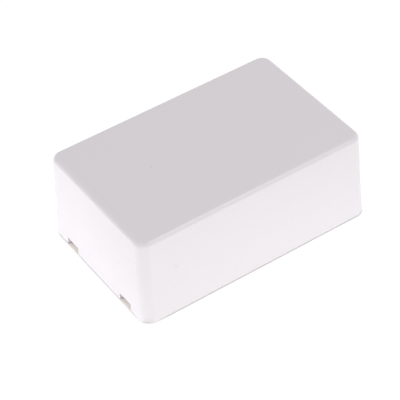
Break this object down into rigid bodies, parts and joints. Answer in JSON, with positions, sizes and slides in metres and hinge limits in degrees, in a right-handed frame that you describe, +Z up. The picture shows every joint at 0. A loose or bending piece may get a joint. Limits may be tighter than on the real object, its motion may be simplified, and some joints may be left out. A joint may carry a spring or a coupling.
{
  "type": "junction box",
  "caption": "Small rectangular plastic junction box: a deep cover with drafted walls and rounded edges snaps down over a flat base plate with tongues, ribs and board bosses.",
  "frame": {"origin": "on the surface that the box stands on, under the middle of the base plate", "axes": "+X along the box, +Y across it, +Z up through the cover's top"},
  "size_m": [0.07, 0.0448, 0.0267],
  "materials": {
    "white_abs": "satin moulded ABS, fine even texture"
  },
  "bodies": {
    "base": {"base_plate": "white_abs"},
    "cover": {"cover": "white_abs"}
  },
  "joints": [
    {"name": "cover_lift", "type": "slide", "parent": "base", "child": "cover", "axis": [0, 0, 1], "range_m": [0, 0.036]}
  ]
}
